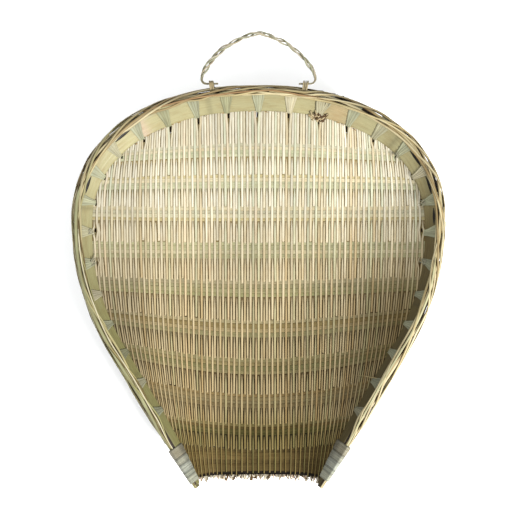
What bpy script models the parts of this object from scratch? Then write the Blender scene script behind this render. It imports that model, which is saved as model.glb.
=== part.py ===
"""Winnowing basket of woven bamboo.

A horseshoe rim carries a dished mat. From the mat outwards the rim is built as two flat
bamboo hoops with the mat's edge between them, two core splints on that edge, a row of bands
lashed round all of this through slots in the mat, and five splints laid on top. The arms of
the rim end in two horns, bound with thread. A twisted loop of splint hangs from two ties on
the back of the rim and swings on them.

Metres, +Z up. The mouth faces -Y and the loop +Y. The origin is on the floor, under the
middle of the mat's flat resting patch.
"""
import math

import bmesh
import bpy
import numpy as np
from mathutils import Matrix, Vector
from mathutils.geometry import convex_hull_2d

# Plan of the rim's outer edge, on the right half.
HALF_WIDTH = 0.251          # at the widest section
BACK_DEPTH = 0.181          # from the widest section to the back of the rim
BACK_SQUARENESS = 2.2       # exponent of the superellipse round the back
ARM_RADIUS = 0.345          # of the arc from the widest section into the straight arm
ARM_ANGLE = math.radians(29.8)  # between a straight arm and the Y axis
ARM_REACH = 0.370           # along Y, from the widest section to the horn's tip
WIDEST_Y = 0.059            # the widest section's place on Y

# Height of the rim.
RIM_HEIGHT = 0.108          # of the rim's top above the floor, round the back
ARM_DROOP = 0.035           # how much lower the rim's top is at the horns
FLARE = math.radians(45)    # the wall's lean outwards from vertical
EDGE_INSET = 0.0094         # from the rim's outer edge to the mat's edge, in plan
EDGE_DROP = 0.0094          # from the rim's top to the mat's edge

# Sections. Each lies in the rim's own coordinates: s runs down the wall from the mat's edge,
# and q runs at right angles to the wall, positive on the inside of the tray.
GAP = 0.00035
MAT_THICK = 0.0024
HOOP_WIDTH = 0.029          # round the back
HOOP_ARM_WIDTH = 0.0135     # along the arms
HOOP_END_WIDTH = 0.012      # where a horn binds it
HOOP_NARROWS = 0.12         # u where it starts to narrow towards the arms
HOOP_NARROWING = 0.42       # the length over which it does
HOOP_THICK = 0.0025
HOOP_TAPER = 0.040          # length over which a hoop narrows before its binding
SPLINT_WIDTH = 0.0036
SPLINT_THICK = 0.0018
CORE_THICK = 0.0032
BAND_THICK = 0.0009
BAND_WIDTH = 0.012
BAND_PITCH = 0.0455
BANDS_A_SIDE = 14

# Horn bindings, measured back from the horn's tip.
HORN_BARE = 0.020
HORN_BINDING = 0.054
BINDING_THICK = 0.0014
MAT_TRIM = 0.0158           # s where the mat is cut back beside a binding

# The mat's dish.
LIP_Y = -0.295
WALL_REACH = 0.032          # s where the straight wall turns into the dish
DISH_DEPTH = 0.083
LEVEL_EASE = 0.0048         # the dish eases into its flat patch over this much height each way
LIP_SAG = 0.006
INNER_HALF_WIDTH, INNER_HALF_LENGTH = 0.205, 0.215  # of the oval that the middle tends to
RING_FRACTIONS = (0.9, 0.78, 0.64, 0.5, 0.35, 0.18)

# The slat under the mat's front edge.
SLAT_WIDTH = 0.026
SLAT_THICK = 0.0016
SLAT_INSET = 0.003
SLAT_CLEAR = 0.0006

# The hanging loop.
LOOP_HALF_WIDTH = 0.076
LOOP_HEIGHT = 0.0675
LOOP_FOOT = 0.054           # inner end of each foot, on X
LOOP_ELBOW = 0.0065
LOOP_SQUARENESS = 1.55
STRAND_RADIUS = 0.0015
STRAND_OFFSET = 0.0018
STRAND_TURN = 0.042         # length of one full twist
STRAND_STEP = 0.0042
LOOP_DROP = 0.005           # the foot's axis under the rim's top
TIE_AT, TIE_WIDTH = 0.0625, 0.009

STATIONS = 60


def clear_scene():
    for thing in list(bpy.data.objects):
        bpy.data.objects.remove(thing, do_unlink=True)


def collection(name):
    made = bpy.data.collections.new(name)
    bpy.context.scene.collection.children.link(made)
    return made


def material(name, colour, roughness):
    made = bpy.data.materials.new(name)
    made.use_nodes = True
    shader = made.node_tree.nodes["Principled BSDF"]
    shader.inputs["Base Color"].default_value = (*colour, 1.0)
    shader.inputs["Roughness"].default_value = roughness
    shader.inputs["Metallic"].default_value = 0.0
    return made


# ---------------------------------------------------------------- the rim's own coordinates


def half_outline():
    """The rim's outer edge from the middle of the back to the right horn's tip, finely."""
    power = 2 / BACK_SQUARENESS
    turn = np.linspace(0, math.pi / 2, 240)
    back = np.stack(
        [
            HALF_WIDTH * np.sin(turn) ** power,
            WIDEST_Y + BACK_DEPTH * np.maximum(np.cos(turn), 0) ** power,
        ],
        axis=1,
    )
    bend = np.linspace(0, ARM_ANGLE, 80)[1:]
    arc = np.stack(
        [HALF_WIDTH - ARM_RADIUS * (1 - np.cos(bend)), WIDEST_Y - ARM_RADIUS * np.sin(bend)],
        axis=1,
    )
    left_over = ARM_REACH - ARM_RADIUS * math.sin(ARM_ANGLE)
    run = np.linspace(0, left_over, 60)[1:, None]
    arm = arc[-1] + run * np.array([-math.tan(ARM_ANGLE), -1.0])
    return np.concatenate([back, arc, arm])


class Rim:
    """Turns (u, s, q) into a point: u is the length along the rim, 0 at the back, + right."""

    def __init__(self):
        edge = half_outline()
        along = np.concatenate([[0], np.cumsum(np.linalg.norm(np.diff(edge, axis=0), axis=1))])
        self.half_length = float(along[-1])
        half = STATIONS // 2
        right_u = np.linspace(0, self.half_length, half + 1)
        right = np.stack([np.interp(right_u, along, edge[:, k]) for k in (0, 1)], axis=1)
        self.u = np.concatenate([-right_u[:0:-1], right_u])
        self.plan = np.concatenate([right[:0:-1] * (-1, 1), right])
        ahead = np.gradient(self.plan, axis=0)
        ahead /= np.linalg.norm(ahead, axis=1)[:, None]
        self.out = np.stack([-ahead[:, 1], ahead[:, 0]], axis=1)

    def point(self, u, s, q):
        r = -EDGE_INSET - s * math.sin(FLARE) - q * math.cos(FLARE)
        w = -EDGE_DROP - s * math.cos(FLARE) + q * math.sin(FLARE)
        x, y = (
            np.interp(u, self.u, self.plan[:, k]) + r * np.interp(u, self.u, self.out[:, k])
            for k in (0, 1)
        )
        return Vector((x, y, rim_top(y) + w))

    def stations(self, start, end):
        """The rim's own stations between two lengths, with both ends."""
        inside = [float(u) for u in self.u if start + 0.002 < u < end - 0.002]
        return [start, *inside, end]


def rim_top(y):
    """Height of the rim's top over the floor: level round the back, then drooping."""
    forward = max(0.0, (WIDEST_Y - y) / ARM_REACH)
    return RIM_HEIGHT - ARM_DROOP * forward**2


def ease(share):
    share = min(1.0, max(0.0, share))
    return share * share * (3 - 2 * share)


def hoop_reach(rim, u):
    """How far down the wall a hoop reaches at u: less along the arms, least in a binding."""
    bound = rim.half_length - HORN_BARE - HORN_BINDING
    share = ease((abs(u) - HOOP_NARROWS) / HOOP_NARROWING)
    width = HOOP_WIDTH + (HOOP_ARM_WIDTH - HOOP_WIDTH) * share
    return width + (HOOP_END_WIDTH - width) * ease((abs(u) - bound + HOOP_TAPER) / HOOP_TAPER)


def band_foot(rim, u):
    """How far down the wall a band at u goes: the hoop's reach at the band's wider side."""
    return hoop_reach(rim, max(0.0, abs(u) - BAND_WIDTH / 2))


def tight_path(corners, clear, points_a_corner=8):
    """A closed path pulled tight round some points of a section, standing clear of them."""
    cloud = []
    for s, q in corners:
        for k in range(points_a_corner):
            angle = 2 * math.pi * (k + 0.5) / points_a_corner
            cloud.append((s + clear * math.cos(angle), q + clear * math.sin(angle)))
    return [cloud[k] for k in convex_hull_2d([Vector(c) for c in cloud])]


# ---------------------------------------------------------------------- making the objects


def add_object(name, mesh, home, finish):
    made = bpy.data.objects.new(name, mesh)
    home.objects.link(made)
    mesh.materials.append(finish)
    return made


def sheet(name, rows, home, finish, thickness, closed=False):
    """An open surface through rows of points, given its thickness by Solidify."""
    bm = bmesh.new()
    grid = [[bm.verts.new(p) for p in row] for row in rows]
    for one, two in zip(grid, grid[1:]):
        last = len(one) if closed else len(one) - 1
        for k in range(last):
            n = (k + 1) % len(one)
            bm.faces.new((one[k], one[n], two[n], two[k]))
    bmesh.ops.recalc_face_normals(bm, faces=bm.faces)
    mesh = bpy.data.meshes.new(name)
    bm.to_mesh(mesh)
    bm.free()
    made = add_object(name, mesh, home, finish)
    thicken(made, thickness)
    return made


def thicken(made, thickness):
    solid = made.modifiers.new("Thickness", "SOLIDIFY")
    solid.thickness = thickness
    solid.offset = 0
    solid.use_even_offset = True
    solid.use_quality_normals = True


def rim_strip(name, rim, home, finish, s_of, q, thickness, tip_cut=0.0):
    """A flat strip that runs round the whole rim between the s values that s_of(u) gives."""
    end = rim.half_length - tip_cut
    rows = [
        [rim.point(u, s, q) for s in s_of(u)]
        for u in rim.stations(-end, end)
    ]
    return sheet(name, rows, home, finish, thickness)


def make_hoops(rim, home, finish):
    middle = MAT_THICK / 2 + GAP + HOOP_THICK / 2
    for name, q, cut in (("inner_hoop", middle, 0.004), ("outer_hoop", -middle, 0.0)):
        rim_strip(
            name, rim, home, finish, lambda u: (0.0, hoop_reach(rim, u)), q, HOOP_THICK, cut
        )


def core_layout():
    """(s, q) of the two core splints' middles."""
    s = -GAP - CORE_THICK / 2
    q = GAP / 2 + SPLINT_WIDTH / 2
    return [(s, -q), (s, q)]


def top_layout():
    """(s, q) of the five top splints' middles: three over the bands and two on those."""
    first = -2 * GAP - CORE_THICK - BAND_THICK - 2 * GAP - SPLINT_THICK / 2
    second = first - SPLINT_THICK - GAP
    across = SPLINT_WIDTH + GAP
    return [(first, -across), (first, 0.0), (first, across), (second, -across / 2), (second, across / 2)]


def top_corners():
    """The corners of the five top splints' sections."""
    return [
        (s + down * SPLINT_THICK / 2, q + across * SPLINT_WIDTH / 2)
        for s, q in top_layout()
        for down in (-1, 1)
        for across in (-1, 1)
    ]


def make_splints(rim, home, core_finish, top_finish):
    """The splints lie flat across the wall's top, so each is a strip along q."""
    tips = (0.006, 0.0, 0.003, 0.009, 0.005, 0.002, 0.007)
    layout = [("rim_core_splint", *at, CORE_THICK, core_finish) for at in core_layout()]
    layout += [("rim_top_splint", *at, SPLINT_THICK, top_finish) for at in top_layout()]
    counts = {}
    for (kind, s, q, thick, finish), cut in zip(layout, tips):
        counts[kind] = counts.get(kind, 0) + 1
        end = rim.half_length - cut
        rows = [
            [rim.point(u, s, q + side * SPLINT_WIDTH / 2) for side in (-1, 1)]
            for u in rim.stations(-end, end)
        ]
        sheet(f"{kind}_{counts[kind]}", rows, home, finish, thick)


def band_corners(rim, u):
    """The section that a lashed band goes round at u."""
    side = MAT_THICK / 2 + GAP + HOOP_THICK
    top = -GAP - CORE_THICK
    core = GAP / 2 + SPLINT_WIDTH
    foot = band_foot(rim, u)
    return [(top, -core), (top, core), (0, -side), (0, side), (foot, -side), (foot, side)]


def band_places():
    return [k * BAND_PITCH for k in range(-BANDS_A_SIDE, BANDS_A_SIDE + 1)]


def make_bands(rim, home, finish):
    for number, u in enumerate(band_places(), start=1):
        path = tight_path(band_corners(rim, u), GAP + BAND_THICK / 2)
        rows = [
            [rim.point(u + side * BAND_WIDTH / 2, s, q) for s, q in path] for side in (-1, 0, 1)
        ]
        sheet(f"lashing_{number:02d}", rows, home, finish, BAND_THICK, closed=True)


def make_bindings(rim, home, finish):
    """The sleeve of thread round each horn."""
    side = MAT_THICK / 2 + GAP + HOOP_THICK
    corners = [(HOOP_END_WIDTH, -side), (HOOP_END_WIDTH, side), *top_corners()]
    path = tight_path(corners, GAP + BINDING_THICK / 2, 12)
    end = rim.half_length - HORN_BARE
    for name, sign in (("horn_binding_left", -1), ("horn_binding_right", 1)):
        places = np.linspace(end - HORN_BINDING, end, 4)
        rows = [[rim.point(sign * u, s, q) for s, q in path] for u in places]
        sheet(name, rows, home, finish, BINDING_THICK, closed=True)


# --------------------------------------------------------------------------------- the mat


def level_out(z):
    """Eases the heights of the mat's middle surface into one flat patch on the floor."""
    flat = MAT_THICK / 2
    depth = min(flat + LEVEL_EASE - z, 2 * LEVEL_EASE)
    if depth <= 0:
        return z
    return flat + LEVEL_EASE - depth + depth * depth / (4 * LEVEL_EASE)


def mat_outline(rim):
    """The dish's own edge as (u or None, point), round the wall's foot and across the lip."""
    length = rim.half_length
    fine = np.linspace(length - 0.08, length, 161)
    end = next(float(u) for u in fine if rim.point(u, WALL_REACH, 0).y < LIP_Y)
    around = [(u, rim.point(u, WALL_REACH, 0)) for u in rim.stations(-end, end)]
    last = around[-1][1]
    lip = []
    for k in range(1, 8):
        share = k / 8
        x = last.x * (1 - 2 * share)
        sag = LIP_SAG * (1 - (x / last.x) ** 2)
        lip.append((None, Vector((x, last.y, last.z - sag))))
    return around, lip


def dish_point(edge, fraction):
    """A point of the dish on the way from its middle to one point of its edge."""
    angle = math.atan2(edge.y, edge.x)
    oval = Vector((INNER_HALF_WIDTH * math.cos(angle), INNER_HALF_LENGTH * math.sin(angle)))
    share = 1 - fraction
    plan = (edge.xy * (1 - share) + oval * share) * fraction
    foot = -EDGE_DROP - WALL_REACH * math.cos(FLARE)
    sag = (rim_top(edge.y) + foot - edge.z) * fraction**2
    z = rim_top(plan.y) + foot - DISH_DEPTH * (1 - fraction**2) - sag
    return Vector((plan.x, plan.y, level_out(z)))


def mat_top(rim, u):
    """The s where the mat's upper edge lies: it is cut back beside the horns' bindings."""
    bound = rim.half_length - HORN_BARE - HORN_BINDING
    share = min(1.0, max(0.0, (abs(u) - bound + 0.014) / 0.011))
    return GAP + (MAT_TRIM - GAP) * share


def make_mat(rim, home, cutters, finish):
    around, lip = mat_outline(rim)
    edge = around + lip
    bm = bmesh.new()
    rings = [[bm.verts.new(p) for _, p in edge]]
    for fraction in RING_FRACTIONS:
        rings.append([bm.verts.new(dish_point(p, fraction)) for _, p in edge])
    for outer, inner in zip(rings, rings[1:]):
        for k in range(len(edge)):
            n = (k + 1) % len(edge)
            bm.faces.new((outer[k], outer[n], inner[n], inner[k]))
    middle = bm.verts.new(dish_point(Vector((0, 1e-6, 0)), 0.0))
    for k in range(len(edge)):
        bm.faces.new((rings[-1][k], rings[-1][(k + 1) % len(edge)], middle))
    top = [bm.verts.new(rim.point(u, mat_top(rim, u), 0)) for u, _ in around]
    for k in range(len(around) - 1):
        bm.faces.new((top[k], top[k + 1], rings[0][k + 1], rings[0][k]))
    bmesh.ops.recalc_face_normals(bm, faces=bm.faces)
    mesh = bpy.data.meshes.new("woven_mat")
    bm.to_mesh(mesh)
    bm.free()
    mat = add_object("woven_mat", mesh, home, finish)
    thicken(mat, MAT_THICK)
    cut = mat.modifiers.new("Slots", "BOOLEAN")
    cut.operation = "DIFFERENCE"
    cut.object = slot_cutter(rim, cutters)
    return mat


def slot_cutter(rim, cutters):
    """One box for each band, where the band goes through the mat."""
    bm = bmesh.new()
    for u in band_places():
        s = band_foot(rim, u) + GAP + BAND_THICK / 2
        here = rim.point(u, s, 0)
        along = (rim.point(u + 0.004, s, 0) - rim.point(u - 0.004, s, 0)).normalized()
        down = rim.point(u, s + 0.004, 0) - rim.point(u, s - 0.004, 0)
        down = (down - along * down.dot(along)).normalized()
        turn = Matrix((along, down, along.cross(down))).transposed().to_4x4()
        size = Matrix.Diagonal((BAND_WIDTH + 0.0012, BAND_THICK + 0.0010, 0.007, 1))
        bmesh.ops.create_cube(bm, size=1, matrix=Matrix.Translation(here) @ turn @ size)
    bmesh.ops.recalc_face_normals(bm, faces=bm.faces)
    mesh = bpy.data.meshes.new("band_slots")
    bm.to_mesh(mesh)
    bm.free()
    cutter = bpy.data.objects.new("band_slots", mesh)
    cutters.objects.link(cutter)
    cutter.hide_render = True
    cutter.display_type = "WIRE"
    return cutter


def make_slat(rim, home, finish):
    """The flat slat that stiffens the mouth, close under the mat's front edge."""
    around, lip = mat_outline(rim)
    below = MAT_THICK / 2 + SLAT_THICK / 2 + SLAT_CLEAR
    rows = []
    for _, edge in (around[-1], *lip, around[0]):
        inner = dish_point(edge, RING_FRACTIONS[0])
        ahead = (inner - edge).normalized()
        start = edge + ahead * SLAT_INSET
        rows.append([start - Vector((0, 0, below)), start + ahead * SLAT_WIDTH - Vector((0, 0, below))])
    return sheet("mouth_slat", rows, home, finish, SLAT_THICK)


# --------------------------------------------------------------------------------- the loop


def loop_axis(rim):
    """(y, z) of the straight line that both feet of the loop turn on."""
    strand = STRAND_OFFSET + STRAND_RADIUS
    outline_y = float(np.interp(LOOP_FOOT, rim.plan[:, 0], rim.plan[:, 1]))
    return outline_y + strand + 0.0006, RIM_HEIGHT - LOOP_DROP


def loop_line():
    """The loop's middle line in its own plane, from its left foot to its right foot."""
    power = 2 / LOOP_SQUARENESS
    turn = np.linspace(0, math.pi, 81)
    arch = np.stack(
        [
            -LOOP_HALF_WIDTH * np.sign(np.cos(turn)) * np.abs(np.cos(turn)) ** power,
            LOOP_ELBOW + (LOOP_HEIGHT - LOOP_ELBOW) * np.abs(np.sin(turn)) ** power,
        ],
        axis=1,
    )
    bend = np.linspace(0, math.pi / 2, 7)
    elbow = np.stack(
        [
            -LOOP_HALF_WIDTH + LOOP_ELBOW * (1 - np.sin(bend)),
            LOOP_ELBOW * (1 - np.cos(bend)),
        ],
        axis=1,
    )
    left = np.concatenate([[(-LOOP_FOOT, 0.0)], elbow])
    whole = np.concatenate([left, arch[1:-1], left[::-1] * (-1, 1)])
    along = np.concatenate([[0], np.cumsum(np.linalg.norm(np.diff(whole, axis=0), axis=1))])
    count = int(along[-1] / STRAND_STEP)
    even = np.linspace(0, along[-1], count + 1)
    return even, np.stack([np.interp(even, along, whole[:, k]) for k in (0, 1)], axis=1)


def make_loop(rim, home, finish):
    """Two strands twisted together, each a curve with its origin on the loop's axis."""
    y, z = loop_axis(rim)
    along, line = loop_line()
    ahead = np.gradient(line, axis=0)
    ahead /= np.linalg.norm(ahead, axis=1)[:, None]
    for number, phase in ((1, 0.0), (2, math.pi)):
        curve = bpy.data.curves.new(f"loop_strand_{number}", "CURVE")
        curve.dimensions = "3D"
        curve.bevel_depth = STRAND_RADIUS
        curve.bevel_resolution = 1
        curve.use_fill_caps = True
        spline = curve.splines.new("POLY")
        spline.points.add(len(line) - 1)
        for k, (at, (x, out)) in enumerate(zip(along, line)):
            twist = 2 * math.pi * at / STRAND_TURN + phase
            side = STRAND_OFFSET * math.cos(twist)
            lift = STRAND_OFFSET * math.sin(twist)
            tx, ty = ahead[k]
            spline.points[k].co = (x - ty * side, out + tx * side, lift, 1)
        made = bpy.data.objects.new(f"loop_strand_{number}", curve)
        curve.materials.append(finish)
        made.location = (0, y, z)
        home.objects.link(made)


def foot_corners(rim, u, axis_y, axis_z):
    """Points round the loop's foot, as (s, q) of the rim's section at u."""
    zero = rim.point(u, 0, 0)
    outwards = (rim.point(u, 0, -0.001) - zero).xy.normalized()
    r = (axis_y - zero.y) / outwards.y
    w = axis_z - zero.z
    s = -r * math.sin(FLARE) - w * math.cos(FLARE)
    q = -r * math.cos(FLARE) + w * math.sin(FLARE)
    radius = STRAND_OFFSET + STRAND_RADIUS
    turns = [2 * math.pi * k / 12 for k in range(12)]
    return [(s + radius * math.cos(t), q + radius * math.sin(t)) for t in turns]


def make_ties(rim, home, finish):
    """A tie on each side holds the loop's foot against the top splints."""
    axis_y, axis_z = loop_axis(rim)
    for name, sign in (("loop_tie_left", -1), ("loop_tie_right", 1)):
        places = [sign * (TIE_AT + side * TIE_WIDTH / 2) for side in (-1, 0, 1)]
        corners = top_corners()
        for u in places:
            corners += foot_corners(rim, u, axis_y, axis_z)
        path = tight_path(corners, GAP + BAND_THICK / 2)
        rows = [[rim.point(u, s, q) for s, q in path] for u in places]
        sheet(name, rows, home, finish, BAND_THICK, closed=True)


def main():
    clear_scene()
    home = collection("winnowing_basket")
    cutters = collection("cutters")
    weave = material("woven_bamboo", (0.68, 0.58, 0.38), 0.62)
    hoop = material("green_bamboo_hoop", (0.50, 0.47, 0.25), 0.48)
    splint = material("pale_splint", (0.70, 0.58, 0.36), 0.55)
    skin = material("bamboo_skin_band", (0.45, 0.47, 0.33), 0.50)
    thread = material("bamboo_thread", (0.42, 0.44, 0.36), 0.52)
    slat = material("brown_slat", (0.30, 0.22, 0.11), 0.60)
    rim = Rim()
    make_mat(rim, home, cutters, weave)
    make_slat(rim, home, slat)
    make_hoops(rim, home, hoop)
    make_splints(rim, home, splint, splint)
    make_bands(rim, home, skin)
    make_bindings(rim, home, thread)
    make_loop(rim, home, splint)
    make_ties(rim, home, skin)


main()
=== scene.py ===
"""Looks of the winnowing basket: every splint of its mat, rim, lashings and hanging loop.

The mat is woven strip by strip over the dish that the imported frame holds. The rim's pieces
lie in the rim's own coordinates (u, s, q): u runs along the rim from the middle of the back,
s runs down the wall from the mat's edge, and q stands off the wall, positive inside the tray.
Metres, +Z up, the mouth towards -Y.
"""
import math

import bpy
import numpy as np
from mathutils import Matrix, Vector
from mathutils.bvhtree import BVHTree
from mathutils.geometry import convex_hull_2d
from mathutils.kdtree import KDTree

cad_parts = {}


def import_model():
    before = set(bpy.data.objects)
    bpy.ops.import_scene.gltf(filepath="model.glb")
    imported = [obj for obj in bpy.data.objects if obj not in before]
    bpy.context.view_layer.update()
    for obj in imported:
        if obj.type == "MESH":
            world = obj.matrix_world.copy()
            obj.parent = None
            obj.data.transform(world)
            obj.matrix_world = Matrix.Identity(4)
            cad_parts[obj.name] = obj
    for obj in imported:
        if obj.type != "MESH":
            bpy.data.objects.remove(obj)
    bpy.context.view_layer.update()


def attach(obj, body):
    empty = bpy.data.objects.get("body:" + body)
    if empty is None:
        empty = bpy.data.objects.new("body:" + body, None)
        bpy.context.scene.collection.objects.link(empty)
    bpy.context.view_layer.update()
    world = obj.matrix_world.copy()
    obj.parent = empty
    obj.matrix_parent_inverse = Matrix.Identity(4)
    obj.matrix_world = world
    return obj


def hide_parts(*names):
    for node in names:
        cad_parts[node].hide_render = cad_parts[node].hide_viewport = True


# The rim, as in the CAD part.
HALF_WIDTH = 0.251
BACK_DEPTH = 0.181
BACK_SQUARENESS = 2.2
ARM_RADIUS = 0.345
ARM_ANGLE = math.radians(29.8)
ARM_REACH = 0.370
WIDEST_Y = 0.059
RIM_HEIGHT = 0.108
ARM_DROOP = 0.035
FLARE = math.radians(45)
EDGE_INSET = 0.0094
EDGE_DROP = 0.0094
GAP = 0.00035
MAT_THICK = 0.0024
HOOP_WIDTH = 0.029
HOOP_ARM_WIDTH = 0.0135
HOOP_END_WIDTH = 0.012
HOOP_NARROWS = 0.12
HOOP_NARROWING = 0.42
HOOP_THICK = 0.0025
HOOP_TAPER = 0.040
SPLINT_WIDTH = 0.0036
CORE_THICK = 0.0032
BAND_THICK = 0.0009
BAND_WIDTH = 0.012
BAND_PITCH = 0.0455
BANDS_A_SIDE = 14
HORN_BARE = 0.020
HORN_BINDING = 0.054
BINDING_THICK = 0.0014
MAT_TRIM = 0.0158

# The dish, as in the CAD part.
LIP_Y = -0.295
WALL_REACH = 0.032
DISH_DEPTH = 0.083
LEVEL_EASE = 0.0048
LIP_SAG = 0.006
INNER_HALF_WIDTH, INNER_HALF_LENGTH = 0.205, 0.215

# The loop, as in the CAD part.
LOOP_HALF_WIDTH = 0.076
LOOP_HEIGHT = 0.0675
LOOP_FOOT = 0.054
LOOP_ELBOW = 0.0065
LOOP_SQUARENESS = 1.55
LOOP_TWIST = 0.047
STRAND_RADIUS = 0.0015
STRAND_OFFSET = 0.0018
LOOP_DROP = 0.005
TIE_AT, TIE_WIDTH = 0.0625, 0.009

# The weave.
WARP_PITCH = 0.00392
WARPS_A_SIDE = 62
WARP_THICK = 0.0010
WEAVE_LIFT = 0.00082        # of a warp's middle over or under the mat's middle
WEFTS_A_BAND = 9
WEFT_THICK = 0.0008
WEFT_BANDS = 11.4           # from the mouth to the last weft up the back wall
BAND_LIP = -0.289           # where band 0's line crosses the middle
BAND_SPAN = 0.457           # over ten bands
BAND_SQUEEZE = 0.0175
BAND_SHIFT = 0.0195
BOW_FLAT, BOW_RUN, BOW_FRONT, BOW_BACK = 0.03, 0.22, 1.2, 0.49
WARP_LEAN = 0.62            # share of the rim's own slope that the outermost warps take
GRID_STEP = 0.003

HORN_PINCH, HORN_MIDDLE = 0.34, -0.002
HORN_LIMIT = 1.4            # of a binding's length, past which a horn narrows no more
CORNER_STEPS = 12           # points round each corner that a band is pulled over
TURN = 2 * math.pi
DIMMER = 0.385              # bamboo's albedo for a display colour: the floor is lit past white


def smooth(share):
    share = np.clip(share, 0.0, 1.0)
    return share * share * (3 - 2 * share)


def unit(vectors):
    return vectors / np.maximum(np.linalg.norm(vectors, axis=-1, keepdims=True), 1e-12)


def linear(colour):
    """The albedo that shows as a display colour, 0 to 255, under this scene's bright light."""
    share = np.asarray(colour, float) / 255
    return np.where(share <= 0.04045, share / 12.92, ((share + 0.055) / 1.055) ** 2.4) * DIMMER


def mix(one, two, share):
    return one * (1 - share) + two * share


def bell(place, middle, spread):
    return np.exp(-(((place - middle) / spread) ** 2))


def lengths(points):
    """How far along its line each point lies."""
    return np.concatenate([[0], np.cumsum(np.linalg.norm(np.diff(points, axis=0), axis=1))])


def read_pairs(at, along, table):
    return np.stack([np.interp(at, along, table[:, k]) for k in (0, 1)], axis=-1)


def beside(path, up):
    """The direction across a strip that runs along a path and faces up."""
    return unit(np.cross(np.gradient(path, axis=0), up))


# ------------------------------------------------------------------------------- the rim


def half_outline():
    power = 2 / BACK_SQUARENESS
    turn = np.linspace(0, math.pi / 2, 240)
    back = np.stack(
        [
            HALF_WIDTH * np.sin(turn) ** power,
            WIDEST_Y + BACK_DEPTH * np.maximum(np.cos(turn), 0) ** power,
        ],
        axis=1,
    )
    bend = np.linspace(0, ARM_ANGLE, 80)[1:]
    arc = np.stack(
        [HALF_WIDTH - ARM_RADIUS * (1 - np.cos(bend)), WIDEST_Y - ARM_RADIUS * np.sin(bend)],
        axis=1,
    )
    left_over = ARM_REACH - ARM_RADIUS * math.sin(ARM_ANGLE)
    run = np.linspace(0, left_over, 60)[1:, None]
    arm = arc[-1] + run * np.array([-math.tan(ARM_ANGLE), -1.0])
    return np.concatenate([back, arc, arm])


def rim_top(y):
    forward = np.maximum(0.0, (WIDEST_Y - y) / ARM_REACH)
    return RIM_HEIGHT - ARM_DROOP * forward**2


class Rim:
    def __init__(self):
        edge = half_outline()
        along = lengths(edge)
        self.half_length = float(along[-1])
        right_u = np.linspace(0, self.half_length, 260)
        right = read_pairs(right_u, along, edge)
        self.u = np.concatenate([-right_u[:0:-1], right_u])
        self.plan = np.concatenate([right[:0:-1] * (-1, 1), right])
        ahead = unit(np.gradient(self.plan, axis=0))
        self.ahead = ahead
        self.out = np.stack([-ahead[:, 1], ahead[:, 0]], axis=1)
        self.bound = self.half_length - HORN_BARE - HORN_BINDING

    def at(self, table, u):
        return read_pairs(u, self.u, table)

    def points(self, u, s, q):
        u, s, q = np.broadcast_arrays(np.asarray(u, float), s, q)
        r = -EDGE_INSET - s * math.sin(FLARE) - q * math.cos(FLARE)
        w = -EDGE_DROP - s * math.cos(FLARE) + q * math.sin(FLARE)
        plan = self.at(self.plan, u) + r[..., None] * self.at(self.out, u)
        return np.concatenate([plan, (rim_top(plan[..., 1]) + w)[..., None]], axis=-1)

    def narrowing(self, u):
        """The share of its size that the section keeps through a horn's binding."""
        return 1 - HORN_PINCH * np.clip((np.abs(u) - self.bound) / HORN_BINDING, 0, HORN_LIMIT)

    def pinched(self, u, s, q):
        """points(), with the section drawn in towards its middle through a horn's binding."""
        u = np.asarray(u, float)
        narrow = self.narrowing(u)
        return self.points(u, HORN_MIDDLE + (s - HORN_MIDDLE) * narrow, q * narrow)

    def down(self, u):
        """The direction in which s grows."""
        out = self.at(self.out, u)
        drop = np.full(np.shape(u) + (1,), -math.cos(FLARE))
        return np.concatenate([-math.sin(FLARE) * out, drop], axis=-1)

    def inward(self, u):
        """The direction in which q grows."""
        out = self.at(self.out, u)
        rise = np.full(np.shape(u) + (1,), math.sin(FLARE))
        return np.concatenate([-math.cos(FLARE) * out, rise], axis=-1)

    def along(self, u):
        return unit(np.concatenate([self.at(self.ahead, u), np.zeros(np.shape(u) + (1,))], -1))


def hoop_reach(rim, u):
    share = smooth((np.abs(u) - HOOP_NARROWS) / HOOP_NARROWING)
    width = HOOP_WIDTH + (HOOP_ARM_WIDTH - HOOP_WIDTH) * share
    share = smooth((np.abs(u) - rim.bound + HOOP_TAPER) / HOOP_TAPER)
    return width + (HOOP_END_WIDTH - width) * share


def band_foot(rim, u):
    return float(hoop_reach(rim, max(0.0, abs(u) - BAND_WIDTH / 2)))


def mat_top(rim, u):
    share = np.clip((np.abs(u) - rim.bound + 0.014) / 0.011, 0, 1)
    return GAP + (MAT_TRIM - GAP) * share


def tight_path(corners, clear, count):
    """Evenly spaced points of a closed path pulled tight round some points of a section."""
    cloud = []
    for s, q in corners:
        for k in range(CORNER_STEPS):
            angle = TURN * (k + 0.5) / CORNER_STEPS
            cloud.append(Vector((s + clear * math.cos(angle), q + clear * math.sin(angle))))
    hull = np.array([cloud[k] for k in convex_hull_2d(cloud)])
    ring = np.concatenate([hull, hull[:1]])
    along = lengths(ring)
    even = np.linspace(0, along[-1], count + 1)[:-1]
    return read_pairs(even, along, ring)


def band_corners(rim, u):
    side = MAT_THICK / 2 + GAP + HOOP_THICK
    top = -GAP - CORE_THICK
    core = GAP / 2 + SPLINT_WIDTH
    foot = band_foot(rim, u)
    return [(top, -core), (top, core), (0, -side), (0, side), (foot, -side), (foot, side)]


# --------------------------------------------------------------------------- the dish


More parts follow.
